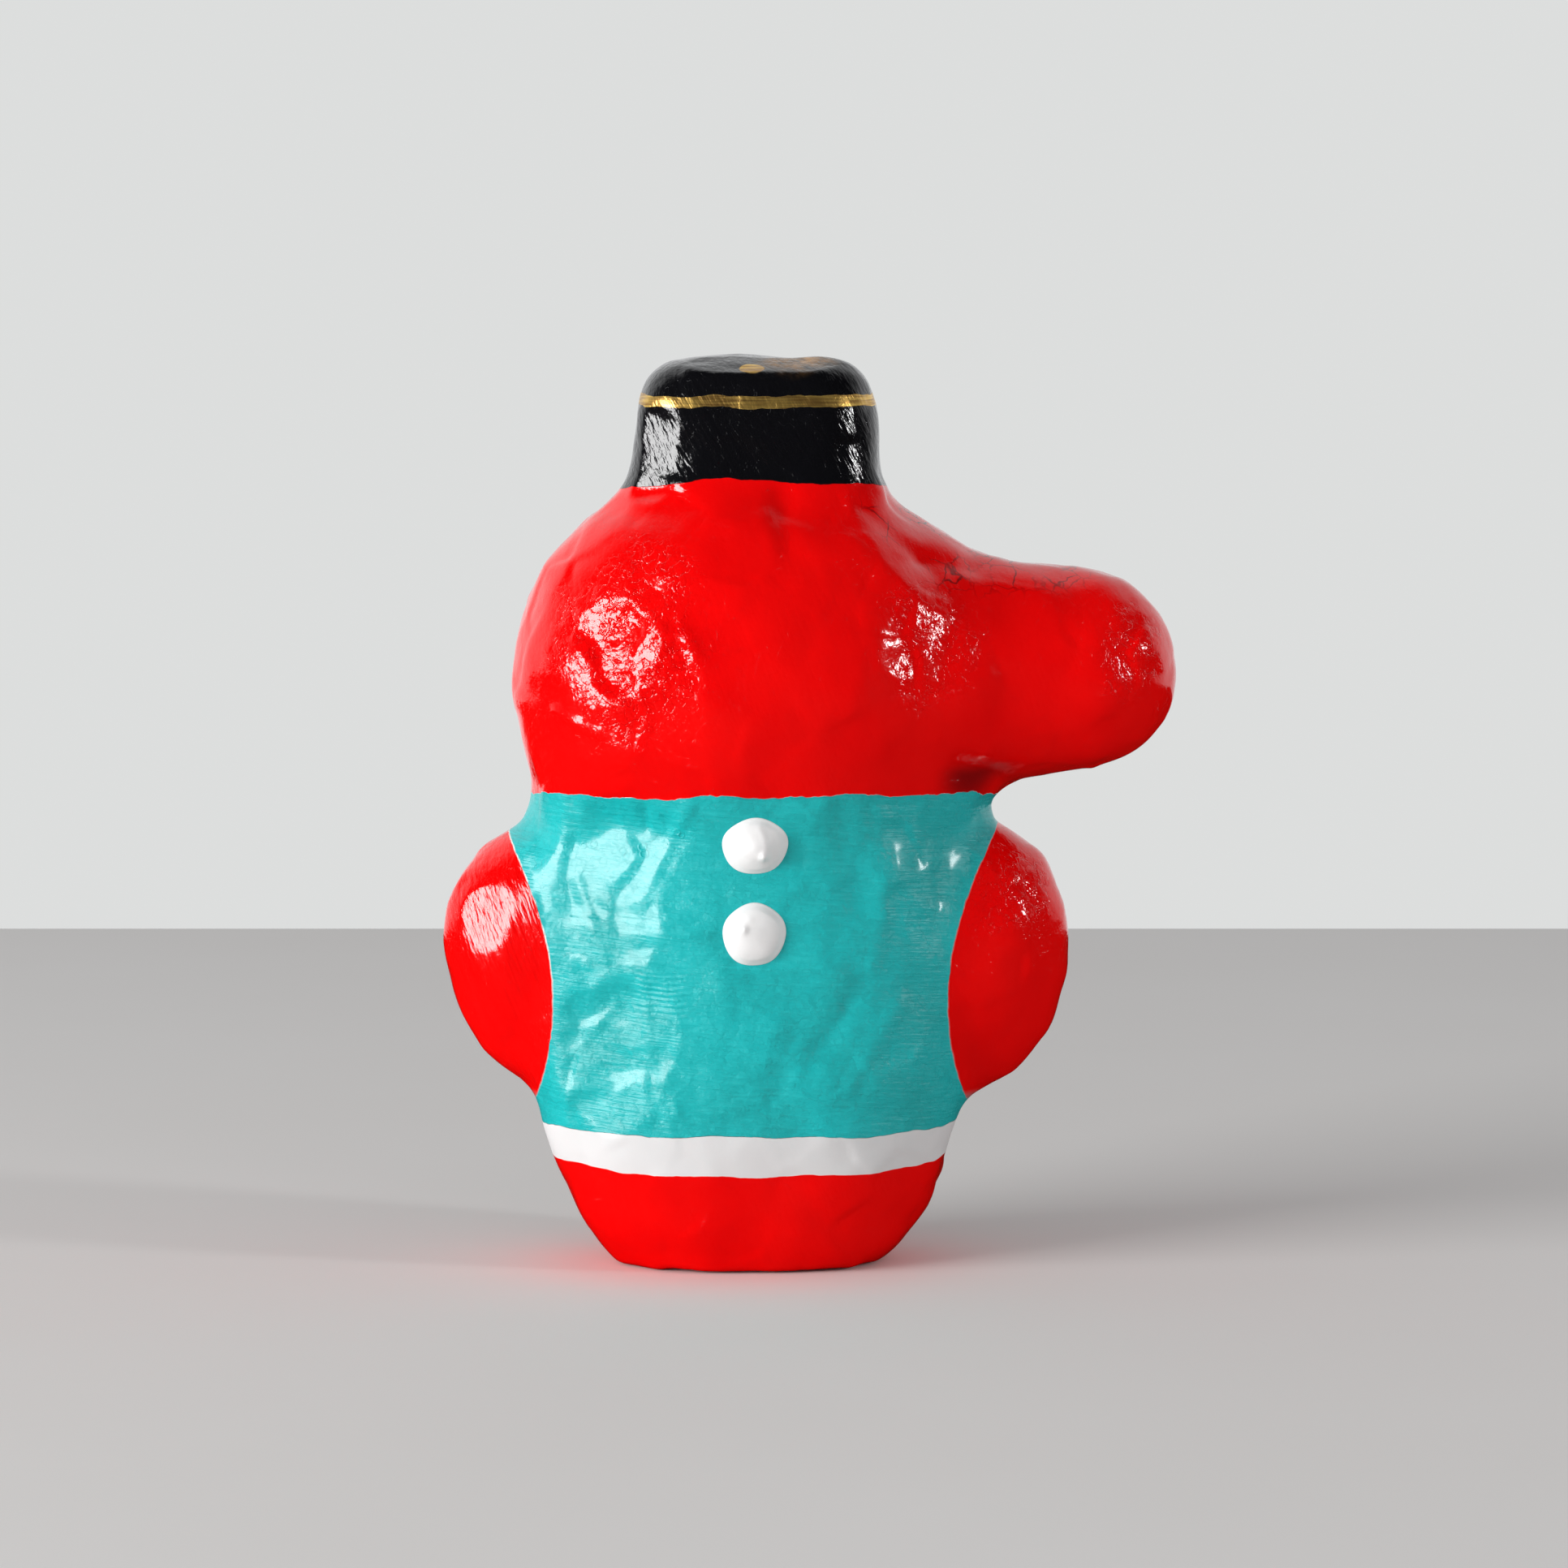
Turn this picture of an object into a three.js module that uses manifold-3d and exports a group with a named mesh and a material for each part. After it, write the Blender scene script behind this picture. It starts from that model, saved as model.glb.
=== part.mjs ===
// A papier-mache figure, 110 mm tall, as a three.js scene graph.
//
// Millimetres, +Z up. The origin is the middle of the flat underside. The figure looks towards -Y with its
// two buttons, and its long snout points along +X.
//
// The figure is one skin of paper pasted over rounded forms: a torso, a head with a snout, two arms held
// against the sides and a tall flat-topped hat. Each form is a field, a function that is negative inside the
// form, zero on its skin and positive outside, in millimetres. Fields are joined softly, as wet paper bridges
// the creases between the forms, and a net of small faces is drawn where the joined field is zero.
// The two buttons are thick drops of paint that were set down on the front.

import * as THREE from "three";
import { mergeVertices } from "three/addons/utils/BufferGeometryUtils.js";
import Module from "manifold-3d";

// ---- Driving dimensions ------------------------------------------------------------------------------

const TORSO = {
  centre: [0, 0, 38.5],
  half: [26.9, 17.4, 43.4], // cut off by the ground, so it stands 82 mm tall inside the head
  plan: 2.4, // 2 is an ellipse in plan, more is squarer
  rise: 2.55, // the same for the upright outline
};
const HEAD = { centre: [-0.1, 0, 70.5], half: [28.6, 22, 26.6], plan: 2.1, rise: 2 };
const SNOUT = {
  root: [18, 0, 71.2],
  rootRadius: 15.4,
  tip: [39.4, 0, 72.1],
  tipRadius: 12,
  flatness: 0.94, // depth over height
};
const HAT = {
  centre: [0.6, 0, 94],
  half: [15.2, 10.2, 15.2],
  plan: 3.2,
  rise: 6,
  foot: 96, // height above which the hat narrows
  taper: 0.0075, // share of its width lost for each millimetre above the foot
};
// The arms are flattened pads that hang at the sides. They narrow downwards and lean in at the bottom.
const LEFT_ARM = { centre: [-25, 0, 37.8], half: [12, 10, 15.8], plan: 2, rise: 2, narrow: 0.12, lean: 6 };
const RIGHT_ARM = { centre: [26, 0, 37.5], half: [12.4, 10, 16.6], plan: 2, rise: 2, narrow: 0.14, lean: -6 };

// How far wet paper bridges each crease.
const NECK_BRIDGE = 4;
const SNOUT_BRIDGE = 7;
const ARM_BRIDGE = 3.4;
const HAT_BRIDGE = 3;

// The hand-shaped skin swells and dips a little: each row is [height, length, turn] of one field of lumps.
const LUMPS = [
  [0.35, 25, 0.4],
  [0.3, 16, 1.5],
];
const LUMPS_AXIS = new THREE.Vector3(0.36, 0.48, 0.8);

const NET_STEP = 2.55; // size of the net's cells
const NET_RELAX = 6; // rounds of evening out the net
const NET_LOW = [-44, -28, -12];
const NET_HIGH = [58, 28, 116];

const BUTTONS = [
  { name: "button_upper", at: [0.6, 52.6], radius: 3.7, height: 2.1, peak: 0.9 },
  { name: "button_lower", at: [0.5, 42.1], radius: 3.8, height: 1.8, peak: 0.6 },
];
const BUTTON_GAP = 0.3; // clear space between a button and the skin
const BUTTON_ROOT = 1.5; // how far a button's stock runs below its rim before it is cut along the skin
const BUTTON_SIDES = 28;

const RED = "#d6100a";
const WHITE = "#e9e6e1";

// ---- Fields ------------------------------------------------------------------------------------------

const SLOPE_STEP = 0.01;

// Turns a gauge, which is 0 on the skin but not in millimetres, into a distance close to the skin.
function inMillimetres(gauge) {
  return (x, y, z) => {
    const value = gauge(x, y, z);
    const slope = Math.hypot(
      gauge(x + SLOPE_STEP, y, z) - value,
      gauge(x, y + SLOPE_STEP, z) - value,
      gauge(x, y, z + SLOPE_STEP) - value,
    );
    return (value * SLOPE_STEP) / Math.max(slope, 1e-9);
  };
}

// An egg-like form whose plan and upright outline can be anything from an ellipse to nearly a box. `narrow`
// is the share by which it gets thinner at its foot and wider at its top.
function superEgg({ centre, half, plan, rise, narrow = 0 }) {
  return inMillimetres((x, y, z) => {
    const up = (z - centre[2]) / half[2];
    const width = 1 + narrow * THREE.MathUtils.clamp(up, -1, 1);
    const u = Math.abs(x - centre[0]) / half[0] / width;
    const v = Math.abs(y - centre[1]) / half[1] / width;
    const around = (u ** plan + v ** plan) ** (1 / plan);
    return (around ** rise + Math.abs(up) ** rise) ** (1 / rise) - 1;
  });
}

// The same field turned about the Y axis through a point, in degrees.
function leaning(field, [cx, , cz], degrees) {
  const angle = THREE.MathUtils.degToRad(degrees);
  const c = Math.cos(angle);
  const s = Math.sin(angle);
  return (x, y, z) => field(cx + (x - cx) * c - (z - cz) * s, y, cz + (x - cx) * s + (z - cz) * c);
}

// A finger-like form: a ball that shrinks as it runs from its root to its tip.
function finger({ root, rootRadius, tip, tipRadius, flatness }) {
  const start = new THREE.Vector3(...root);
  const along = new THREE.Vector3(...tip).sub(start);
  const place = new THREE.Vector3();
  return inMillimetres((x, y, z) => {
    place.set(x, y / flatness, z).sub(start);
    const share = THREE.MathUtils.clamp(place.dot(along) / along.lengthSq(), 0, 1);
    const radius = THREE.MathUtils.lerp(rootRadius, tipRadius, share);
    return place.addScaledVector(along, -share).length() - radius;
  });
}

// The hat is a boxy egg that narrows above its foot.
function hat({ centre, foot, taper, ...egg }) {
  const straight = superEgg({ centre, ...egg });
  return (x, y, z) => {
    const narrow = 1 - taper * Math.max(z - foot, 0);
    return straight(centre[0] + (x - centre[0]) / narrow, y / narrow, z);
  };
}

// Joins two fields, filling the crease between them over about `bridge` millimetres.
function join(a, b, bridge) {
  return (x, y, z) => {
    const da = a(x, y, z);
    const db = b(x, y, z);
    const fill = Math.max(bridge - Math.abs(da - db), 0) / bridge;
    return Math.min(da, db) - (fill * fill * bridge) / 4;
  };
}

// The height of the swells of the hand-shaped skin at a point.
function swell(x, y, z) {
  return LUMPS.reduce((sum, [height, length, turn]) => {
    const p = new THREE.Vector3(x, y, z).multiplyScalar((2 * Math.PI) / length);
    p.applyAxisAngle(LUMPS_AXIS, turn);
    return sum + height * Math.sin(p.x + Math.sin(p.y)) * Math.sin(p.y + Math.sin(p.z)) * Math.cos(p.z + p.x);
  }, 0);
}

function figureField() {
  const leftArm = leaning(superEgg(LEFT_ARM), LEFT_ARM.centre, LEFT_ARM.lean);
  const rightArm = leaning(superEgg(RIGHT_ARM), RIGHT_ARM.centre, RIGHT_ARM.lean);
  const headAndSnout = join(superEgg(HEAD), finger(SNOUT), SNOUT_BRIDGE);
  const headAndHat = join(headAndSnout, hat(HAT), HAT_BRIDGE);
  const armed = join(join(superEgg(TORSO), leftArm, ARM_BRIDGE), rightArm, ARM_BRIDGE);
  const whole = join(armed, headAndHat, NECK_BRIDGE);
  return (x, y, z) => whole(x, y, z) - swell(x, y, z);
}

// ---- The net over a field ----------------------------------------------------------------------------

// The direction in which a field grows, as a vector whose length is its slope.
function slopeOf(field, p) {
  const here = field(p.x, p.y, p.z);
  return new THREE.Vector3(
    field(p.x + SLOPE_STEP, p.y, p.z) - here,
    field(p.x, p.y + SLOPE_STEP, p.z) - here,
    field(p.x, p.y, p.z + SLOPE_STEP) - here,
  ).divideScalar(SLOPE_STEP);
}

// Moves a point onto the skin.
function settle(field, p, rounds = 3) {
  for (let i = 0; i < rounds; i++) {
    const slope = slopeOf(field, p);
    p.addScaledVector(slope, -field(p.x, p.y, p.z) / Math.max(slope.lengthSq(), 1e-9));
  }
  return p;
}

// Two sheets of skin would pinch together at a face of the grid whose corners are in and out by turns.
// The crease between them is filled there: the outside corner nearer to the skin is taken inside.
function fillPinches(values, strides) {
  let pinched = true;
  while (pinched) {
    pinched = false;
    for (let here = 0; here < values.length; here++)
      for (const axis of [0, 1, 2]) {
        const u = strides[(axis + 1) % 3];
        const v = strides[(axis + 2) % 3];
        const ring = [here, here + u, here + u + v, here + v];
        const [a, b, c, d] = ring.map((corner) => values[corner] < 0);
        if (a !== c || b !== d || a === b) continue;
        const [nearer] = ring.filter((corner) => values[corner] >= 0).sort((p, q) => values[p] - values[q]);
        values[nearer] = -SLOPE_STEP;
        pinched = true;
      }
  }
}

// A closed net of quads over the skin of a field, with one knot in each cell that the skin crosses.
function netOver(field, low, high, step) {
  const counts = high.map((top, axis) => Math.ceil((top - low[axis]) / step) + 1);
  const strides = [1, counts[0], counts[0] * counts[1]];
  const corner = (i, j, k) => i * strides[0] + j * strides[1] + k * strides[2];
  const values = new Float64Array(counts[0] * counts[1] * counts[2]);
  for (let k = 0; k < counts[2]; k++)
    for (let j = 0; j < counts[1]; j++)
      for (let i = 0; i < counts[0]; i++)
        values[corner(i, j, k)] = field(low[0] + i * step, low[1] + j * step, low[2] + k * step);

  fillPinches(values, strides);

  // The knot of a cell is the mean of the places where the skin crosses the cell's twelve edges.
  const knots = [];
  const knotOf = new Map();
  const cellEdges = [0, 1, 2].flatMap((axis) =>
    [0, 1, 2, 3].map((side) => {
      const start = [0, 0, 0];
      start[(axis + 1) % 3] = side & 1;
      start[(axis + 2) % 3] = side >> 1;
      return { axis, start };
    }),
  );
  for (let k = 0; k + 1 < counts[2]; k++)
    for (let j = 0; j + 1 < counts[1]; j++)
      for (let i = 0; i + 1 < counts[0]; i++) {
        const sum = new THREE.Vector3();
        let crossings = 0;
        for (const { axis, start } of cellEdges) {
          const at = [i + start[0], j + start[1], k + start[2]];
          const here = values[corner(...at)];
          const there = values[corner(...at) + strides[axis]];
          if (here < 0 === there < 0) continue;
          at[axis] += here / (here - there);
          sum.add(new THREE.Vector3(...at));
          crossings++;
        }
        if (!crossings) continue;
        knotOf.set(corner(i, j, k), knots.length);
        knots.push(sum.divideScalar(crossings).multiplyScalar(step).add(new THREE.Vector3(...low)));
      }

  // Each grid edge that the skin crosses is ringed by four cells, whose knots make one quad.
  const quads = [];
  for (let k = 1; k + 1 < counts[2]; k++)
    for (let j = 1; j + 1 < counts[1]; j++)
      for (let i = 1; i + 1 < counts[0]; i++)
        for (const axis of [0, 1, 2]) {
          const here = corner(i, j, k);
          if (values[here] < 0 === values[here + strides[axis]] < 0) continue;
          const u = strides[(axis + 1) % 3];
          const v = strides[(axis + 2) % 3];
          const ring = [here - u - v, here - v, here, here - u].map((cell) => knotOf.get(cell));
          quads.push(values[here] < 0 ? ring : ring.reverse());
        }
  return { knots, quads };
}

// Draws each knot towards the middle of its neighbours and back onto the skin, so that the quads even out.
function relax({ knots, quads }, field, rounds) {
  const neighbours = knots.map(() => new Set());
  for (const quad of quads)
    quad.forEach((knot, n) => neighbours[knot].add(quad[(n + 1) % 4]).add(quad[(n + 3) % 4]));
  for (let round = 0; round < rounds; round++) {
    const middles = neighbours.map((near) => {
      const sum = new THREE.Vector3();
      near.forEach((other) => sum.add(knots[other]));
      return sum.divideScalar(near.size);
    });
    knots.forEach((knot, n) => settle(field, knot.lerp(middles[n], 0.5), 1));
  }
  knots.forEach((knot) => settle(field, knot));
}

// The same net, moved outwards by a distance.
function grown({ knots, quads }, field, distance) {
  const outside = (x, y, z) => field(x, y, z) - distance;
  return { knots: knots.map((knot) => settle(outside, knot.clone())), quads };
}

// The net as a three.js geometry, each quad split along its shorter diagonal.
function geometryOf({ knots, quads }) {
  const triangles = quads.flatMap(([a, b, c, d]) =>
    knots[a].distanceToSquared(knots[c]) < knots[b].distanceToSquared(knots[d])
      ? [a, b, c, a, c, d]
      : [a, b, d, b, c, d],
  );
  const positions = new Float32Array(knots.flatMap((knot) => knot.toArray()));
  return new THREE.BufferGeometry()
    .setAttribute("position", new THREE.BufferAttribute(positions, 3))
    .setIndex(triangles);
}

// ---- Solids ------------------------------------------------------------------------------------------

const wasm = await Module();
wasm.setup();

// A closed geometry as a manifold-3d solid, and the way back.
function solidFrom(geometry) {
  const bare = geometry.clone();
  bare.deleteAttribute("normal");
  bare.deleteAttribute("uv");
  const merged = mergeVertices(bare, 1e-4);
  return new wasm.Manifold(
    new wasm.Mesh({
      numProp: 3,
      vertProperties: merged.attributes.position.array,
      triVerts: new Uint32Array(merged.index.array),
    }),
  );
}

function geometryFrom(solid) {
  const { vertProperties, triVerts } = solid.getMesh();
  return new THREE.BufferGeometry()
    .setAttribute("position", new THREE.BufferAttribute(vertProperties, 3))
    .setIndex(new THREE.BufferAttribute(triVerts, 1));
}

// The whole figure, sliced flat at the ground.
function figure(net) {
  const size = NET_HIGH[0] - NET_LOW[0];
  const belowGround = new THREE.BoxGeometry(size, size, size).translate(0, 0, -size / 2);
  const mesh = new THREE.Mesh(
    geometryFrom(solidFrom(geometryOf(net)).subtract(solidFrom(belowGround))),
    new THREE.MeshStandardMaterial({ color: RED, roughness: 0.25, metalness: 0 }),
  );
  mesh.name = "figure";
  return mesh;
}

// A drop of thick paint, round, domed and drawn up to a small peak, turned to stand on the figure's front.
// It is turned on a lathe with a root below its rim, and the root is cut away along the figure's skin.
function button(field, skinAndGap, { name, at: [x, z], radius, height, peak }) {
  const dome = [0.97, 0.86, 0.68, 0.46, 0.24].map((share) => {
    const rise = height * (1 - share ** 2.4) + peak * Math.exp(-((share / 0.22) ** 2));
    return new THREE.Vector2(radius * share, rise);
  });
  const profile = [
    new THREE.Vector2(0, -BUTTON_ROOT),
    new THREE.Vector2(radius * 0.93, -BUTTON_ROOT),
    new THREE.Vector2(radius, height * 0.12),
    ...dome,
    new THREE.Vector2(0, height + peak),
  ];
  const mesh = new THREE.Mesh(
    new THREE.LatheGeometry(profile, BUTTON_SIDES),
    new THREE.MeshStandardMaterial({ color: WHITE, roughness: 0.6, metalness: 0 }),
  );
  const foot = settle(field, new THREE.Vector3(x, -TORSO.half[1], z));
  const outwards = slopeOf(field, foot).normalize();
  mesh.quaternion.setFromUnitVectors(new THREE.Vector3(0, 1, 0), outwards);
  mesh.position.copy(foot).addScaledVector(outwards, BUTTON_GAP);
  mesh.updateMatrix();
  const whole = solidFrom(mesh.geometry.applyMatrix4(mesh.matrix));
  mesh.geometry = geometryFrom(whole.subtract(skinAndGap)).applyMatrix4(mesh.matrix.clone().invert());
  mesh.name = name;
  return mesh;
}

const skin = figureField();
const net = netOver(skin, NET_LOW, NET_HIGH, NET_STEP);
relax(net, skin, NET_RELAX);
const skinAndGap = solidFrom(geometryOf(grown(net, skin, BUTTON_GAP)));

const group = new THREE.Group();
group.add(figure(net));
for (const spec of BUTTONS) group.add(button(skin, skinAndGap, spec));

export default group;
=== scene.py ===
# %% [markdown]
# # A papier-mache figure
#
# The real thing is a hollow figure a hand tall. Strips of thin paper are pasted in layers over a form, so
# head, snout, arms, body and hat are one continuous skin. The skin is painted red, with a turquoise vest, a
# white hem and a black hat with a gold band, and then brushed with a glossy varnish. Two thick drops of
# white relief paint make the buttons.
#
# The solids in the frame already have the right form at the right size. What this script adds is what a hand
# leaves on such a thing: flat panes and creases in the paper, brushed paint and the crinkles of its varnish.
# Left and right are as seen from the front.
# %% The frame
import math

import bmesh
import bpy
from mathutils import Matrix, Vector, noise
from mathutils.bvhtree import BVHTree


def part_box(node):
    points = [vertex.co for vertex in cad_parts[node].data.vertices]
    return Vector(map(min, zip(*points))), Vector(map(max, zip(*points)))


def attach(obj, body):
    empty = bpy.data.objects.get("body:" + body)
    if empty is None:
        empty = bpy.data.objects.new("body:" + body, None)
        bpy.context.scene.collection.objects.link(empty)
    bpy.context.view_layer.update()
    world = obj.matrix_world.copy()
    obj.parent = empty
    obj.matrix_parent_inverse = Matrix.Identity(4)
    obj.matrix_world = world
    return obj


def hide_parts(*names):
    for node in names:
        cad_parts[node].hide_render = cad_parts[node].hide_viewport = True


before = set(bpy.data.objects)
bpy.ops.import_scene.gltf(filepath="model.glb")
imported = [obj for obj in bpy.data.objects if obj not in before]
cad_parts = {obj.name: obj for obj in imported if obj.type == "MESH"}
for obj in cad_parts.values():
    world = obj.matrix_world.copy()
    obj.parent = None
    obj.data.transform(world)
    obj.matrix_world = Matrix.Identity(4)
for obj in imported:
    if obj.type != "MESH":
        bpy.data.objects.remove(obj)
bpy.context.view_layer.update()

MM = 0.001  # the frame is in metres, and a figure this small is easier to describe in millimetres
low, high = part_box("figure")
print("the figure is", [round(side / MM, 1) for side in high - low], "mm")

# %% [markdown]
# ## The camera
#
# A small thing keeps its true proportions when it is seen from well back through a long lens. The camera
# stands a little above the top of the hat and looks slightly down. A lens of 134 mm from 0.7 m away fills a
# little over half of the frame's height with the figure.
# %% The camera
CAMERA_DISTANCE = 0.7
CAMERA_HEIGHT = 0.1315
CAMERA_ASIDE = 0.004
CAMERA_PITCH = 6.0  # degrees below the horizon
LENS = 134.2  # in millimetres, as is the width of the sensor
SENSOR = 36.0

camera = bpy.data.objects.new("camera", bpy.data.cameras.new("camera"))
camera.data.lens = LENS
camera.data.sensor_width = SENSOR
camera.location = (CAMERA_ASIDE, -CAMERA_DISTANCE, CAMERA_HEIGHT)
camera.rotation_euler = (math.radians(90.0 - CAMERA_PITCH), 0.0, 0.0)
bpy.context.scene.collection.objects.link(camera)
bpy.context.scene.camera = camera
bpy.context.scene.view_settings.view_transform = "Standard"
print("camera", tuple(round(c, 4) for c in camera.location))

# %% [markdown]
# ## Shader nodes as expressions
#
# A painted surface is easier to write as sums and products than as boxes and wires. `Wire` wraps one socket,
# and each operator adds the Math node that does it.
# %% Wires


class Wire:
    """One socket of a node tree, which can be used in sums and products when it is a number."""

    def __init__(self, nodes, socket):
        self.nodes = nodes
        self.socket = socket

    def maths(self, operation, *others):
        inputs = dict(enumerate((self, *others)))
        return self.nodes.node("ShaderNodeMath", inputs, operation=operation)[0]

    def __add__(self, other):
        return self.maths("ADD", other)

    def __radd__(self, other):
        return self.maths("ADD", other)

    def __sub__(self, other):
        return self.maths("SUBTRACT", other)

    def __rsub__(self, other):
        return self.maths("MULTIPLY", -1.0).maths("ADD", other)

    def __mul__(self, other):
        return self.maths("MULTIPLY", other)

    def __rmul__(self, other):
        return self.maths("MULTIPLY", other)

    def __abs__(self):
        return self.maths("ABSOLUTE")

    def step(self, edge=0.0, soft=0.05):
        """0 where this is below the edge and 1 where it is above, over a soft border of twice `soft`."""
        inputs = {0: self, 1: edge - soft, 2: edge + soft, 3: 0.0, 4: 1.0}
        return self.nodes.node("ShaderNodeMapRange", inputs, interpolation_type="SMOOTHSTEP")[0]


print("wires can be added, subtracted, multiplied and stepped")

# %% [markdown]
# `Nodes` is the node tree of one material or of the world, and its `node` method makes any node. A node gets
# its settings first, because some of them decide which inputs it has.
# %% Trees of nodes


class Outputs:
    """A node's outputs as wires, by name or number."""

    def __init__(self, nodes, node):
        self.nodes = nodes
        self.node = node

    def __getitem__(self, key):
        return Wire(self.nodes, self.node.outputs[key])


class Nodes:
    """The nodes of one material or of the world."""

    def __init__(self, owner):
        owner.use_nodes = True
        self.owner = owner
        self.tree = owner.node_tree
        self.tree.nodes.clear()

    def node(self, kind, inputs, **settings):
        """Makes a node, with its settings first and then its inputs by name or number."""
        made = self.tree.nodes.new(kind)
        for name, value in settings.items():
            setattr(made, name, value)
        for key, value in inputs.items():
            if isinstance(value, Wire):
                self.tree.links.new(value.socket, made.inputs[key])
            else:
                made.inputs[key].default_value = value
        return Outputs(self, made)

    def parts(self, vector):
        """The three numbers of a vector."""
        split = self.node("ShaderNodeSeparateXYZ", {0: vector})
        return split["X"], split["Y"], split["Z"]

    def mix(self, share, a, b):
        """Colour a where share is 0 and colour b where it is 1."""
        return self.node("ShaderNodeMix", {0: share, 6: a, 7: b}, data_type="RGBA")[2]


print("materials and the world can be written as sums and products")

# %% [markdown]
# A pattern on a thing this small is easiest to size in millimetres. `Finish` is a material whose noises,
# cells and streaks are all measured that way from the place on the figure.
# %% Patterns in millimetres
class Finish(Nodes):
    """A material whose patterns are measured in millimetres in the frame."""

    def __init__(self, name):
        super().__init__(bpy.data.materials.new(name))
        place = self.node("ShaderNodeTexCoord", {})["Object"]
        self.place = self.node("ShaderNodeVectorMath", {0: place, "Scale": 1.0 / MM}, operation="SCALE")[0]
        self.x, self.y, self.z = self.parts(self.place)

    def noise(self, size, detail=2.0, place=None):
        """Smooth noise between 0 and 1 with lumps of a size in millimetres."""
        inputs = {"Vector": place or self.place, "Scale": 1.0 / size, "Detail": detail}
        return self.node("ShaderNodeTexNoise", inputs)["Fac"]

    def brushed(self, sizes, lean=0.0, detail=2.0):
        """Noise drawn out to a length along each axis, for brush strokes that lean by so many degrees."""
        inputs = {"Vector": self.place, "Rotation": (0.0, math.radians(lean), 0.0), "Scale": sizes}
        place = self.node("ShaderNodeMapping", inputs, vector_type="TEXTURE")[0]
        return self.noise(1.0, detail, place)

    def bent(self, size, amount):
        """The place, moved about by part of an amount in millimetres, which bends what is drawn there."""
        wobble = self.node("ShaderNodeTexNoise", {"Vector": self.place, "Scale": 1.0 / size, "Detail": 2.0})
        moves = self.node("ShaderNodeVectorMath", {0: wobble["Color"], "Scale": amount}, operation="SCALE")[0]
        return self.node("ShaderNodeVectorMath", {0: self.place, 1: moves}, operation="ADD")[0]

    def cracks(self, size, place):
        """The distance to the edges of cells of a size in millimetres, in cells."""
        inputs = {"Vector": place, "Scale": 1.0 / size}
        return self.node("ShaderNodeTexVoronoi", inputs, feature="DISTANCE_TO_EDGE")["Distance"]

    def facets(self, size, place):
        """Flat facets that tilt at random.

        Gives their height in millimetres, for a slope of about one in one, and the distance to a facet's
        middle as a share of its size.
        """
        spot = self.node("ShaderNodeVectorMath", {0: place, "Scale": 1.0 / size}, operation="SCALE")[0]
        cell = self.node("ShaderNodeTexVoronoi", {"Vector": spot, "Scale": 1.0})
        away = self.node("ShaderNodeVectorMath", {0: spot, 1: cell["Position"]}, operation="SUBTRACT")[0]
        inputs = {0: cell["Color"], 1: (0.5, 0.5, 0.5)}
        tilt = self.node("ShaderNodeVectorMath", inputs, operation="SUBTRACT")[0]
        rise = self.node("ShaderNodeVectorMath", {0: tilt, 1: away}, operation="DOT_PRODUCT")["Value"]
        return rise * (2.0 * size), cell["Distance"]

    def near(self, middle, radius, soft, uneven=0.0):
        """1 within a radius of a place and 0 beyond it, over a soft border. uneven moves the border."""
        away = self.node("ShaderNodeVectorMath", {0: self.place, 1: middle}, operation="DISTANCE")["Value"]
        return (radius - away + uneven).step(0.0, soft)

    def bump(self, height):
        """A normal from a height in millimetres."""
        return self.node("ShaderNodeBump", {"Height": height, "Distance": MM})["Normal"]

    def shader(self, inputs):
        """Ends the material with a Principled shader and returns the material."""
        surface = self.node("ShaderNodeBsdfPrincipled", inputs)["BSDF"]
        self.node("ShaderNodeOutputMaterial", {"Surface": surface})
        return self.owner


print("a finish can use", ", ".join(name for name in vars(Finish) if not name.startswith("_")))

# %% [markdown]
# ## The paper skin
#
# The solid has faces about 2.5 mm wide. Its triangles are joined back into quads and smoothed by subdivision,
# and a voxel remesh gives an even net that is fine enough to sculpt, about half a millimetre to a face. That
# keeps the skin under 200,000 triangles.
# %% An even skin to sculpt
VOXEL = 0.52 * MM
SAME_PLACE = 0.001 * MM  # corners this close together are one
FLAT_ENOUGH = math.radians(40)  # two triangles that bend less than this can make a quad
SQUARE_ENOUGH = math.radians(60)


def link(name, mesh):
    """A new object at the origin that holds the mesh."""
    piece = bpy.data.objects.new(name, mesh)
    bpy.context.scene.collection.objects.link(piece)
    return piece


def mesh_of(bm, name):
    """A mesh made from a bmesh, which is freed."""
    mesh = bpy.data.meshes.new(name)
    bm.to_mesh(mesh)
    bm.free()
    return mesh


def finished(piece):
    """Replaces a piece's mesh by what its modifiers make of it, and takes the modifiers off."""
    graph = bpy.context.evaluated_depsgraph_get()
    mesh = bpy.data.meshes.new_from_object(piece.evaluated_get(graph))
    piece.modifiers.clear()
    piece.data = mesh
    mesh.name = piece.name


bm = bmesh.new()
bm.from_mesh(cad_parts["figure"].data)
bmesh.ops.remove_doubles(bm, verts=bm.verts, dist=SAME_PLACE)
bmesh.ops.join_triangles(
    bm, faces=bm.faces, angle_face_threshold=FLAT_ENOUGH, angle_shape_threshold=SQUARE_ENOUGH
)
skin = link("figure_skin", mesh_of(bm, "figure_skin"))
smooth = skin.modifiers.new("rounder", "SUBSURF")
smooth.levels = smooth.render_levels = 2
even = skin.modifiers.new("even", "REMESH")
even.mode = "VOXEL"
even.voxel_size = VOXEL
calm = skin.modifiers.new("calm", "SMOOTH")
calm.iterations = 4
calm.factor = 0.5
finished(skin)
print("the skin has", len(skin.data.vertices), "vertices")

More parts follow.
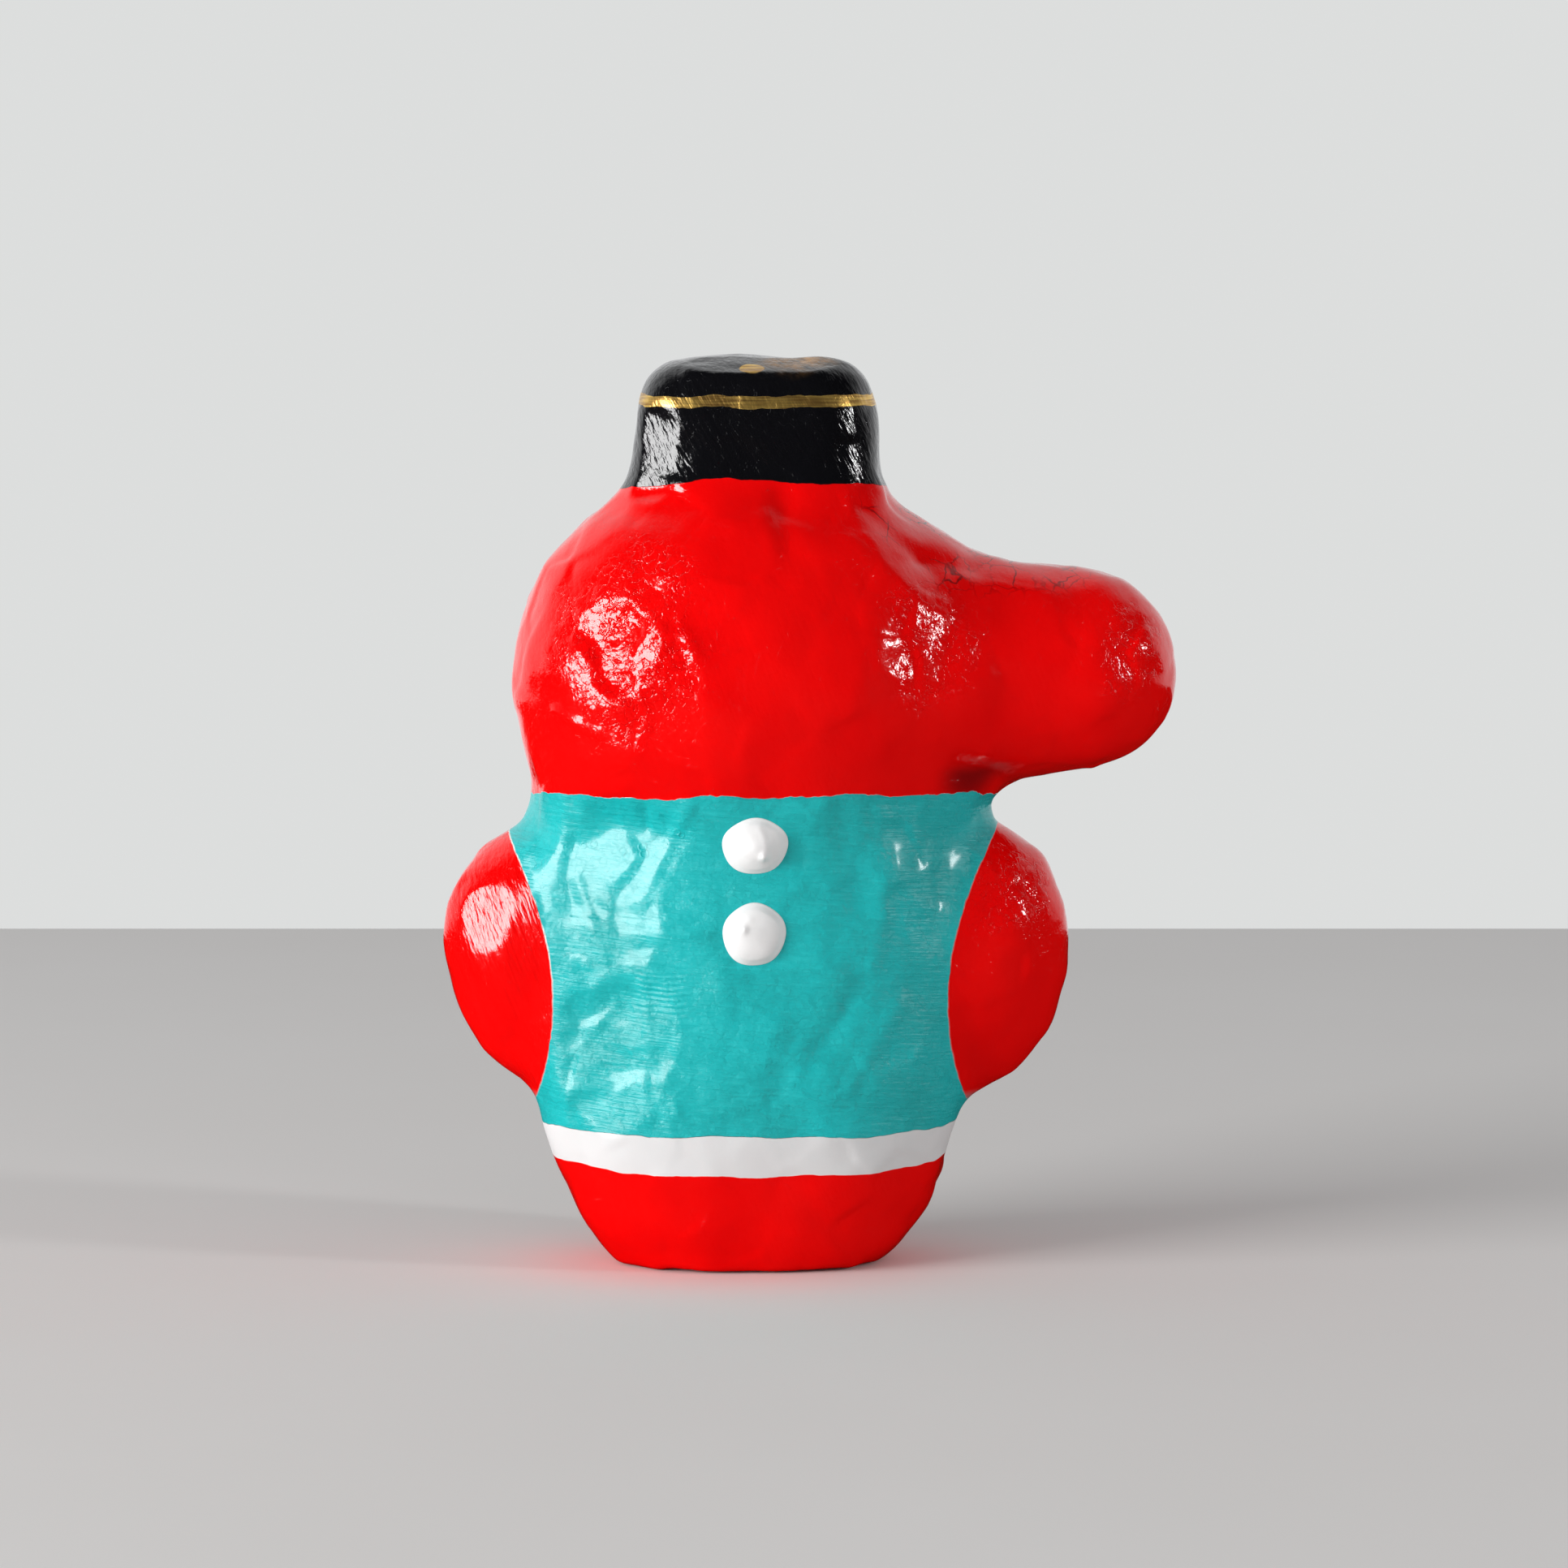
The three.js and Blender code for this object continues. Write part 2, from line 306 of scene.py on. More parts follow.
# %% [markdown]
# ## Pressed flat
#
# The figure is held in the hand and laid down while the paper is wet, and that presses its round sides flat
# in places. Each press is a plane: whatever sticks out beyond it goes back to it, over a limited reach with
# a ragged edge. Under a glossy varnish such a place lights up as a whole.
# %% Presses
SOFT_EDGE = 0.33  # share of its reach over which a press fades out
RAGGED_SIZE = 8.0  # millimetres from one jut of a ragged edge to the next
RAGGED_INSET = 0.3  # how far a ragged edge draws back, as a share of its raggedness

# Each press has a middle, the way it faces as degrees aside and degrees up, a reach in millimetres, and the
# share of the reach by which its edge is ragged.
PRESSES = [
    ((-14.4, -14.38, 46.0), -24.5, 4.5, 13.2, 0.1),  # left of the buttons
    ((-14.6, -14.0, 26.0), -25.0, 1.0, 12.0, 0.1),
    ((-14.8, -14.9, 36.5), -25.0, 3.0, 8.0, 0.1),
    ((-18.0, -15.55, 79.0), -28.0, 9.0, 8.0, 0.4),  # the left cheek, twice on one plane
    ((-14.5, -18.0, 76.2), -28.0, 9.0, 9.0, 0.4),
    ((19.0, -16.6, 76.0), 27.0, 10.0, 8.0, 0.2),  # where the snout starts
    ((-31.6, -7.4, 42.0), -32.0, 9.0, 9.0, 0.25),  # the left arm
    ((5.0, -20.0, 88.0), 4.0, 40.0, 7.0, 0.0),  # under the hat
    ((0.0, -9.5, 107.2), 0.0, 74.0, 19.0, 0.0),  # the front of the crown
    ((-11.3, -7.58, 98.0), -34.0, 7.0, 6.5, 0.1),  # the left corner of the hat
]


def facing(aside, up):
    """The way a surface faces, in degrees to the right and degrees upwards from straight ahead."""
    aside, up = math.radians(aside), math.radians(up)
    return Vector((math.sin(aside) * math.cos(up), -math.cos(aside) * math.cos(up), math.sin(up)))


def fade(distance, reach, soft):
    """1 well inside a reach and 0 well outside it."""
    share = min(max((reach - distance) / soft, 0.0), 1.0)
    return share * share * (3.0 - 2.0 * share)


def pressed(place):
    """Where a place goes once every press has been made."""
    for middle, aside, up, reach, ragged in PRESSES:
        away = place - Vector(middle)
        if away.length < reach:
            out = facing(aside, up)
            beyond = max(away.dot(out), 0.0)
            edge = reach * (1.0 + ragged * (noise.noise(place / RAGGED_SIZE) - RAGGED_INSET))
            place = place - out * beyond * fade(away.length, edge, reach * SOFT_EDGE)
    return place


deepest = 0.0
for vertex in skin.data.vertices:
    place = pressed(vertex.co / MM)
    deepest = max(deepest, (place - vertex.co / MM).length)
    vertex.co = place * MM
skin.data.update()
print(len(PRESSES), "presses, at most", round(deepest, 2), "mm deep")

# %% [markdown]
# ## Panes, creases and folds
#
# Wet paper doesn't take a round form smoothly. It lies in flat panes that meet in soft creases. The nearest
# points of a Voronoi pattern tell which panes a place belongs to, and every pane tilts a little its own way.
# %% Panes
BORDER = 0.3  # half-width of the crease between two panes
PANES = [(6.5, 0.11, 1.7), (3.2, 0.06, 6.3)]  # sizes, slopes and seeds


def panes(place, size, seed):
    """The height of the tilted pane that a place lies in, for a slope of about one in one."""
    spot = place / size + Vector((seed, -seed, 2.0 * seed))
    distances, middles = noise.voronoi(spot)
    height = total = 0.0
    for distance, middle in zip(distances, middles):
        weight = math.exp((distances[0] - distance) * size / BORDER)
        tilt = noise.cell_vector(middle) * 2.0 - Vector((1.0, 1.0, 1.0))
        height += weight * tilt.dot(spot - middle) * size
        total += weight
    return height / total


print("panes of", " and ".join(str(size) for size, _, _ in PANES), "mm")

# %% [markdown]
# The paper crumples most where it was worked most: on the cheek, at both ends of the snout and on the right
# arm. Slow swells run under all of it.
# %% Crumpled zones
CALM_PAPER = 0.3  # how much the paper crumples away from the zones
ZONE_SOFT = 0.7  # share of its reach over which a zone fades out
SWELL_SIZE = 15.0
SWELL = 0.3  # height of the slow swells
SWELL_SEED = 5.5

# Each crumpled zone has a middle, a reach and an amount.
CRUMPLED = [
    ((-14.0, -17.5, 76.0), 11.0, 0.3),
    ((-8.0, -19.5, 77.0), 6.0, 0.4),
    ((19.0, -15.0, 77.0), 9.0, 0.7),
    ((46.0, -9.0, 75.0), 6.0, 0.6),
    ((-16.0, -14.0, 48.0), 14.0, 0.1),
    ((-16.0, -14.0, 26.0), 13.0, 0.25),
    ((18.0, -14.0, 50.0), 10.0, 0.7),
    ((29.3, -7.5, 46.0), 6.0, 0.9),
    ((31.5, -7.0, 36.0), 4.0, 0.8),
]


def crumpling(place):
    """How much the paper crumples at a place."""
    amount = CALM_PAPER
    for middle, reach, extra in CRUMPLED:
        amount += extra * fade((place - Vector(middle)).length, reach, reach * ZONE_SOFT)
    return amount


def swell(place):
    """Slow swells of the paper, at most 1 either way."""
    return noise.noise(place / SWELL_SIZE + Vector((SWELL_SEED, 3 * SWELL_SEED, -SWELL_SEED)))


print(len(CRUMPLED), "crumpled zones, the first around", CRUMPLED[0][0])

# %% [markdown]
# Some marks can be told apart, such as the folds from the hat down to the snout. Each of them is a stroke
# along a short line, on the front only.
# %% Strokes
# Each stroke is a start and an end, across and up on the front, a half-width and a height, all in
# millimetres. A negative height is a groove.
STROKES = [
    ((15.5, 93.5), (24.5, 86.5), 1.1, 0.3),  # folds from the hat down to the snout
    ((13.0, 92.0), (22.0, 84.0), 0.9, -0.2),
    ((11.0, 90.0), (19.0, 82.0), 1.3, 0.25),
    ((20.5, 86.0), (27.0, 84.5), 1.2, -0.4),
    ((3.5, 93.5), (4.5, 87.5), 1.4, -0.3),  # a dent under the middle of the hat
    ((25.0, 60.8), (30.0, 59.6), 1.7, -0.8),  # the press of a thumb under the snout
    ((-6.9, 57.5), (-13.0, 45.5), 0.8, 0.2),  # the edge of the flat place left of the buttons
    ((-12.6, 36.0), (-12.0, 26.0), 0.8, 0.17),
    ((-11.8, 26.0), (-11.0, 19.0), 0.8, -0.2),
    ((-16.6, 25.0), (-12.0, 25.6), 0.6, -0.12),
    ((-22.5, 29.5), (-18.0, 30.5), 0.7, 0.16),
    ((-22.0, 26.0), (-15.5, 33.5), 0.7, 0.14),
    ((-20.8, 48.0), (-17.5, 39.0), 0.9, 0.15),
    ((-21.0, 57.0), (-21.0, 52.0), 0.7, -0.2),  # dents below the neck line
    ((-12.4, 57.0), (-12.2, 54.4), 0.6, -0.3),
    ((13.5, 36.0), (7.2, 26.6), 1.3, -0.3),
    ((17.5, 33.0), (12.0, 23.5), 1.2, 0.22),
    ((5.0, 30.0), (2.5, 22.0), 1.3, -0.2),
    ((11.0, 56.5), (12.5, 46.0), 1.5, -0.25),
    ((17.0, 50.0), (14.5, 38.0), 1.3, 0.2),
    ((-20.6, 38.2), (-19.6, 37.6), 0.5, 0.2),  # drips of paint
    ((-9.0, 22.3), (-8.5, 20.2), 0.5, 0.22),
    ((-11.4, 82.6), (-12.4, 79.5), 1.7, -0.4),  # a dent high on the left cheek
    ((-23.0, 68.0), (-17.5, 65.5), 0.5, 0.25),  # the edge of a strip of paper below it
    ((-9.5, 81.0), (-6.0, 75.0), 0.7, 0.2),
]


def stroke(place, start, end, width, height):
    """The height that one stroke adds at a place on the front. It fades at both ends."""
    if place.y > 0:
        return 0.0
    spot, start, end = Vector((place.x, place.z)), Vector(start), Vector(end)
    line = end - start
    share = min(max((spot - start).dot(line) / line.length_squared, 0.0), 1.0)
    away = (spot - start - line * share).length / width
    return height * math.exp(-(away**2)) if away < 3.0 else 0.0


print(len(STROKES), "strokes")

# %% [markdown]
# Panes, swells and strokes add up to one height, and every point of the skin moves by it along its normal.
# The relief fades out above the underside, so the figure stands as flat as before.
# %% Relief
FOOT = 2.5  # millimetres over which the relief fades in above the flat underside


def relief(place):
    """The height of the paper at a place in millimetres."""
    amount = crumpling(place)
    height = sum(panes(place, size, seed) * slope * amount for size, slope, seed in PANES)
    height += SWELL * swell(place)
    for mark in STROKES:
        height += stroke(place, *mark)
    return height


places = [vertex.co / MM for vertex in skin.data.vertices]
heights = [relief(place) * min(max(place.z / FOOT, 0.0), 1.0) for place in places]
normals = [vertex.normal.copy() for vertex in skin.data.vertices]
for vertex, height, normal in zip(skin.data.vertices, heights, normals):
    vertex.co += normal * height * MM
    vertex.co.z = max(vertex.co.z, 0.0)
skin.data.shade_smooth()
print("relief from", round(min(heights), 2), "to", round(max(heights), 2), "mm")
print("the skin has", len(skin.data.polygons), "faces")

# %% [markdown]
# ## The painted regions
#
# The paint lines run level round the figure, as they do when it is turned on the table under a steady brush,
# and they wander a little. Each region is a step over a distance in millimetres, so its edge stays crisp at
# any size. The armholes follow the creases where the arms meet the body.
# %% Paint colours and lines
RED = (0.88, 0.001, 0.001, 1.0)
DEEP_RED = (0.78, 0.0005, 0.001, 1.0)
# The dark red of the cracks on the snout, also used for the painted shade under the snout.
CRACK_AND_SHADE_RED = (0.12, 0.002, 0.003, 1.0)
TEAL = (0.001, 0.49, 0.5, 1.0)
DEEP_TEAL = (0.001, 0.41, 0.41, 1.0)
PALE_TEAL = (0.02, 0.6, 0.6, 1.0)
WHITE = (0.7, 0.7, 0.7, 1.0)
BARE_PAPER = (0.75, 0.76, 0.72, 1.0)
BLACK = (0.004, 0.004, 0.005, 1.0)
GOLD = (0.85, 0.56, 0.14, 1.0)
DARK_GOLD = (0.4, 0.22, 0.06, 1.0)
ORANGE = (0.75, 0.36, 0.08, 1.0)

# Heights above the table in millimetres.
NECK_LINE = 57.2
HEM_TOP = 17.5
HEM_BOTTOM = 13.6
HAT_LINE = 93.6
BAND = 104.25  # the middle of the gold band
BAND_HALF = 0.66
ARMHOLE = 23.5  # how far out an armhole's edge is where it comes nearest to the middle
ARMHOLE_HEIGHT = 33.0
ARMHOLE_CURVE = 0.0151
ARM_TOP = 58.0
LINER = 0.1  # half-width of the pale line along an armhole
LINER_SHOWS = 36.0  # the height above which the line on the left shows clearly

print("paint lines at", HEM_BOTTOM, HEM_TOP, NECK_LINE, HAT_LINE, "and", BAND, "mm")

# %% [markdown]
# Two slow noises make the lines wander and tremble. The front of the figure bulges towards the eye, so each
# line also rises or falls a little with the depth.
# %% Where the paints meet
paper = Finish("painted_paper")
wander = paper.noise(8.0, 2.0) - 0.5
tremble = paper.noise(1.8, 2.0) - 0.5
blotch = paper.noise(11.0, 3.0)
front = abs(paper.y)
on_front = (paper.y * -1.0).step(2.0, 2.0)


def above(line, lean, wandering, trembling):
    """1 above a paint line, which leans with the depth, wanders and trembles by so many millimetres."""
    return (paper.z + front * lean + wander * wandering + tremble * trembling).step(line)


above_neck = above(NECK_LINE, -0.06, 2.2, 0.7)
above_hem = above(HEM_TOP, 0.0, 1.4, 0.3)
above_foot = above(HEM_BOTTOM, 0.055, 1.2, 0.3)
in_hat = above(HAT_LINE, -0.12, 1.6, 0.4)
band = (BAND_HALF - abs(paper.z - BAND + wander * 1.3) + tremble * 0.5).step()
print("the paint lines take", len(paper.tree.nodes), "nodes")

# %% [markdown]
# The edge of an armhole is a parabola, nearest to the middle at the height of the belly. A thin line of bare
# paper shows along it, most on the left, where the red and the turquoise don't quite meet.
# %% Armholes
up = paper.z - ARMHOLE_HEIGHT
edge = abs(paper.x) - up * up * ARMHOLE_CURVE + tremble * 0.4
below_neck = (paper.z - HEM_TOP).step(2.5, 1.5) * (1.0 - above_neck)
in_arm = edge.step(ARMHOLE) * below_neck
liner = (LINER - abs(edge - ARMHOLE)).step(0.0, 0.04) * below_neck
left_top = (paper.x * -1.0).step() * paper.z.step(LINER_SHOWS, 6.0)
liner = liner * (0.2 + left_top * 0.7) * (wander + tremble).step(-0.1, 0.1)
hem = above_foot * (1.0 - above_hem)
in_vest = above_hem * (1.0 - above_neck) * (1.0 - in_arm)
in_red = (1.0 - in_vest) * (1.0 - in_hat)
left_arm = (paper.x * -1.0).step(ARMHOLE) * (1.0 - paper.z.step(ARM_TOP, 2.0))
print("with the armholes they take", len(paper.tree.nodes), "nodes")

# %% [markdown]
# Thin paint shows how it was brushed. The strokes run level on the vest, and steeply down to the right on the
# head, the arms and the hat.
# %% Colours
level = paper.brushed((4.0, 4.0, 0.35), 5.0, 3.0)
steep = paper.brushed((0.5, 1.2, 4.5), -22.0)
slanting = paper.brushed((0.5, 0.8, 3.0), -30.0)

red = paper.mix(blotch.step(0.5, 0.3), DEEP_RED, RED)
teal = paper.mix(blotch.step(0.5, 0.3), TEAL, DEEP_TEAL)
teal = paper.mix(level.step(0.62, 0.15) * 0.3, teal, PALE_TEAL)
streaks = paper.brushed((5.0, 5.0, 0.22))
gold = paper.mix((streaks + wander * 0.7).step(0.5, 0.2), DARK_GOLD, GOLD)
print("with its brush strokes the paint takes", len(paper.tree.nodes), "nodes")

# %% [markdown]
# The rest lies on top in patches. Old varnish has cracked on top of the snout, and the shade under the snout,
# where a thumb pressed a dent, is painted dark. The crown has a dab of gold on its edge and an orange patch
# behind it.
# %% Layers of paint
# Patches of paint, varnish and painted shade each have a middle, a radius and the width of a soft border.
SNOUT_TOP = [((29.0, -5.0, 85.5), 11.0, 3.0), ((18.5, -6.0, 90.5), 6.0, 2.0)]
# Where the shade under the snout is painted dark.
SHADE_UNDER_SNOUT = [((27.5, -10.0, 60.2), 4.5, 2.5)]
# An orange patch on the crown behind the gold dab.
ORANGE_PATCH = [((4.6, -4.2, 108.8), 2.6, 2.4), ((7.6, -3.0, 109.0), 1.8, 2.2)]
DAB = [((0.2, -7.0, 107.9), 1.5, 0.3)]
WORKED = [
    ((-15.0, -17.0, 76.5), 10.5, 4.0),  # the left cheek
    ((20.3, -15.0, 76.5), 5.5, 3.0),  # where the snout starts
    ((47.5, -9.0, 74.5), 3.6, 3.0),  # its tip
    ((29.5, -7.0, 46.0), 4.5, 2.5),  # the right arm
]


def patches(places, uneven=0.0):
    """1 within any of several places. uneven moves their borders."""
    return sum(paper.near(*place, uneven) for place in places)


broadly_bent = paper.bent(3.0, 3.0)
snout_top = patches(SNOUT_TOP) * paper.z.step(82.0, 1.5) * blotch.step(0.45, 0.08)
crack = (1.0 - paper.cracks(2.8, broadly_bent).step(0.03, 0.02)) * snout_top
# Painted shade: the dent under the snout is darkened in the colour, as if in shadow.
painted_shade_under_snout = patches(SHADE_UNDER_SNOUT) * (1.0 - paper.z.step(61.0, 1.2))
orange_patch = patches(ORANGE_PATCH) * (tremble + 0.5).step(0.5, 0.25) * 0.6
gilt = (band + patches(DAB)).step(0.5, 0.3)

colour = paper.mix(crack * 0.9, red, CRACK_AND_SHADE_RED)
# The painted shade under the snout.
colour = paper.mix(painted_shade_under_snout * 0.8, colour, CRACK_AND_SHADE_RED)
colour = paper.mix(above_foot * (1.0 - above_neck), colour, WHITE)
colour = paper.mix(above_hem * (1.0 - above_neck), colour, teal)
colour = paper.mix(in_arm, colour, red)
colour = paper.mix(liner, colour, BARE_PAPER)
colour = paper.mix(in_hat, colour, BLACK)
colour = paper.mix(orange_patch, colour, ORANGE)
colour = paper.mix(gilt, colour, gold)
print("with its colours the paint takes", len(paper.tree.nodes), "nodes")

# %% [markdown]
# The varnish has a leathery grain, and where the paper was worked most it has fine creases like those of a
# brain. It is too thin to sculpt, so it is a height for a bump, in millimetres.
# %% The varnish
CREASES_ELSEWHERE = 0.08  # share of the creases away from the worked patches
VEST_CALM = 0.4  # share of the creases that the thick paint of the vest fills

# How high each mark stands, in millimetres.
FOLD = 0.045
CRINKLE = 0.055
DIMPLE = 0.035
CHIP = 0.05
GRAIN = 0.018
VEST_CHIP = 0.04
VEST_CRINKLE = 0.06
VEST_STROKE = 0.13
RED_STROKE = 0.025
ARM_STROKE = 0.1
HAT_STROKE = 0.11

creased = patches(WORKED, wander * 16.0 + tremble * 6.0).step(0.5, 0.45)
bent = paper.bent(1.1, 2.2)
folds = abs(paper.noise(2.2, 1.0, bent) - 0.5).step(0.014, 0.014)
crinkles, dimples = paper.facets(1.0, bent)
chips, _ = paper.facets(2.6, broadly_bent)
height = folds * FOLD + crinkles * CRINKLE - dimples * DIMPLE
height = height * (CREASES_ELSEWHERE + creased * (1.0 - CREASES_ELSEWHERE))
height = height * (1.0 - in_vest * VEST_CALM) + paper.noise(0.5, 2.0) * GRAIN
height = height + chips * (creased * CHIP + in_vest * VEST_CHIP)
height = height + (level * VEST_STROKE + crinkles * VEST_CRINKLE) * in_vest
height = height + steep * in_red * (RED_STROKE + left_arm * ARM_STROKE) + slanting * in_hat * HAT_STROKE
print("with its varnish the paint takes", len(paper.tree.nodes), "nodes")

# %% [markdown]
# Left of the buttons the varnish ran into fine level ribs, and a few bubbles burst in it and left rings.
# %% Ribs and bubbles
RIB = 0.024  # heights in millimetres
RING = 0.04
RING_WIDTH = 0.1
RIBS_ASIDE = -10.4
RIBS_UP = 34.5

# Each bubble has a place across and up, and a radius.
BUBBLES = [
    (-18.6, 52.0, 0.42),
    (-19.8, 51.8, 0.3),
    (-15.1, 51.4, 0.4),
    (-14.7, 50.8, 0.33),
    (-12.7, 52.0, 0.45),
    (-12.5, 51.2, 0.45),
    (-8.6, 54.0, 0.35),
    (-8.1, 53.6, 0.3),
]
spot = paper.node("ShaderNodeCombineXYZ", {0: paper.x, 1: 0.0, 2: paper.z})[0]


def ring(across, up, radius):
    """The thin ring that one bubble left."""
    inputs = {0: spot, 1: (across, 0.0, up)}
    spread = paper.node("ShaderNodeVectorMath", inputs, operation="DISTANCE")["Value"]
    return (RING_WIDTH - abs(spread - radius)).step(0.0, 0.08)


ribbed = (5.0 - abs(paper.x - RIBS_ASIDE) * 1.6).step(0.0, 1.0)
ribbed = ribbed * (2.9 - abs(paper.z - RIBS_UP)).step(0.0, 1.0)
ribs = (paper.z * 9.5 + wander * 22.0 + tremble * 3.0).maths("SINE") * ribbed
rings = sum(ring(*bubble) for bubble in BUBBLES)
height = height + (ribs * RIB + rings * RING) * on_front
print(len(BUBBLES), "bubbles")

# %% [markdown]
# The varnish on the red is almost a mirror. The vest is a step thicker and rougher under a thin coat, so it
# shows a crisp highlight inside a veil, and the hem is nearly matt. The gilt is metal powder in a binder.
# %% One shader for all the paint
VEST_STEP = 0.05
HEM_CALM = 0.7  # share of the varnish's height that the hem loses
ROUGHNESS = 0.09
VEST_ROUGHER = 0.3
HEM_ROUGHER = 0.4
GILT_ROUGHER = 0.2
BLOTCH_ROUGHER = 0.06
GILT_METAL = 0.85
COAT = 0.35
COAT_ROUGHNESS = 0.12

height = height * (1.0 - hem * HEM_CALM) + in_vest * VEST_STEP
roughness = ROUGHNESS + in_vest * VEST_ROUGHER + hem * HEM_ROUGHER + gilt * GILT_ROUGHER
varnished = paper.shader(
    {
        "Base Color": colour,
        "Roughness": roughness + blotch * BLOTCH_ROUGHER,
        "Metallic": gilt * GILT_METAL,
        "Coat Weight": in_vest * COAT,
        "Coat Roughness": COAT_ROUGHNESS,
        "Normal": paper.bump(height),
    }
)
skin.data.materials.clear()
skin.data.materials.append(varnished)
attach(skin, "root")
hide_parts("figure")
print("painted_paper has", len(paper.tree.nodes), "nodes")

# %% [markdown]
# ## The buttons
#
# Relief paint comes out of a tube with a nozzle. The drop spreads into a low dome, and pulling the nozzle
# away leaves a small peak and a crest of paint that trails towards it.
# %% The form of a drop
DOME = 0.8  # the smaller, the flatter the top and the steeper the side
RIM = 5.0  # the larger, the narrower the rounded rim
CREST_HEIGHT = 0.1
CREST_WIDTH = 0.45

# Each drop has its half sizes across and up, its height, how full its section is, its humps, each with a
# place, a half-width and a height, and its crest, a line of points. All lengths are millimetres.
DROPS = {
    "button_upper": {
        "half": (3.8, 3.5),
        "height": 1.45,
        "full": 1.7,
        "humps": [((0.6, -0.5), 1.9, 0.5), ((1.05, -0.98), 0.52, 0.55)],
        "crest": [(0.5, 2.3), (1.1, 1.2), (1.3, 0.1), (1.05, -0.98)],
    },
    "button_lower": {
        "half": (3.65, 3.85),
        "height": 1.5,
        "full": 2.6,
        "humps": [((-0.5, 0.7), 1.5, 0.35), ((-1.15, 0.95), 0.5, 0.32)],
        "crest": [(-0.5, 2.0), (-1.1, 1.4), (-1.2, 0.5)],
    },
}


def along(place, points):
    """The distance from a place to a line through points."""
    distances = []
    for start, end in zip(points, points[1:]):
        start, end = Vector(start), Vector(end)
        line = end - start
        share = min(max((place - start).dot(line) / line.length_squared, 0.0), 1.0)
        distances.append((place - start - line * share).length)
    return min(distances)


def drop_top(place, share, drop):
    """The height of a drop's top at a place. share is 0 in the middle and 1 at the rim."""
    height = drop["height"] * (1.0 - share ** drop["full"]) ** DOME
    for middle, width, extra in drop["humps"]:
        height += extra * math.exp(-(((place - Vector(middle)).length / width) ** 2))
    height += CREST_HEIGHT * math.exp(-((along(place, drop["crest"]) / CREST_WIDTH) ** 2))
    return height * min((1.0 - share) * RIM, 1.0) ** 0.5


for node, drop in DROPS.items():
    print(node, "is", round(drop_top(Vector((0.0, 0.0)), 0.0, drop), 2), "mm high in the middle")

# %% [markdown]
# The section of a drop is spun into a closed round form. Its top gets the dome, the peak and the crest, and
# the whole of it is draped over the skin that it was piped onto.
# %% Spinning and draping
RINGS = 28  # from the middle of a drop to its rim
SIDES = 96
UNDERSIDE = (0.97, 0.5, 0.0)  # rings of the underside, as shares of the radius
WOBBLES = [(2, 0.025, 1.0), (5, 0.015, 0.0)]  # waves round the rim, their size and where they start
SUNK = 0.2  # how far the underside reaches into the paint below it
CLEAR = 10 * MM  # far enough out from the skin to look back at it
SAME_POINT = 1e-5  # of a radius

skin_tree = BVHTree.FromObject(skin, bpy.context.evaluated_depsgraph_get())


def spun_drop():
    """A closed round form with a radius of 1. Its top is at a height of 1 and its underside at -1."""
    bm = bmesh.new()
    section = [(ring / RINGS, 0.0, 1.0) for ring in range(RINGS + 1)]
    section += [(share, 0.0, -1.0) for share in UNDERSIDE]
    verts = [bm.verts.new(point) for point in section]
    edges = [bm.edges.new(pair) for pair in zip(verts, verts[1:])]
    bmesh.ops.spin(
        bm,
        geom=verts + edges,
        axis=(0, 0, 1),
        cent=(0, 0, 0),
        dvec=(0, 0, 0),
        angle=2 * math.pi,
        steps=SIDES,
        use_merge=True,
        use_duplicate=False,
    )
    bmesh.ops.remove_doubles(bm, verts=bm.verts, dist=SAME_POINT)
    bmesh.ops.recalc_face_normals(bm, faces=bm.faces)
    return bm


def piped_drop(name, node, drop):
    """A drop that stands for a CAD button, draped over the skin where the button is."""
    low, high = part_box(node)
    middle = (low + high) / 2
    ahead = Vector((middle.x, low.y - CLEAR, middle.z))
    foot, outwards, _, _ = skin_tree.ray_cast(ahead, Vector((0, 1, 0)))
    outwards = (outwards + Vector((0, -1, 0))).normalized()
    across = Vector((0, 0, 1)).cross(outwards).normalized()
    up = outwards.cross(across)

    bm = spun_drop()
    for vert in bm.verts:
        share = math.hypot(vert.co.x, vert.co.y)
        angle = math.atan2(vert.co.y, vert.co.x)
        wobble = 1.0 + sum(size * math.sin(waves * angle + start) for waves, size, start in WOBBLES)
        place = Vector((vert.co.x * drop["half"][0], vert.co.y * drop["half"][1])) * wobble
        rise = drop_top(place, min(share, 1.0), drop) if vert.co.z > 0 else -SUNK
        above_skin = foot + (across * place.x + up * place.y) * MM + outwards * CLEAR
        ground, _, _, _ = skin_tree.ray_cast(above_skin, -outwards)
        vert.co = ground + outwards * rise * MM
    piece = link(name, mesh_of(bm, name))
    piece.data.shade_smooth()
    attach(piece, "root")
    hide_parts(node)
    print(name, "has", len(piece.data.polygons), "faces")
    return piece


print("a drop is spun in", SIDES, "steps from", RINGS, "rings")

# %% [markdown]
# Relief paint dries to a soft sheen. Its colour and its height are faintly uneven.
# %% White paint
WHITE_PAINT = (0.85, 0.845, 0.84, 1.0)
DULL_WHITE_PAINT = (0.8, 0.79, 0.785, 1.0)
SPECK = 0.012  # heights in millimetres
WAVE = 0.03

relief_paint = Finish("relief_paint")
uneven = relief_paint.noise(0.5, 3.0) * SPECK + relief_paint.noise(1.6, 2.0) * WAVE
white_paint = relief_paint.shader(
    {
        "Base Color": relief_paint.mix(relief_paint.noise(1.6, 3.0), DULL_WHITE_PAINT, WHITE_PAINT),
        "Roughness": 0.42 + relief_paint.noise(0.9, 2.0) * 0.12,
        "Normal": relief_paint.bump(uneven),
    }
)
for node, drop in DROPS.items():
    piped_drop(node + "_drop", node, drop).data.materials.append(white_paint)

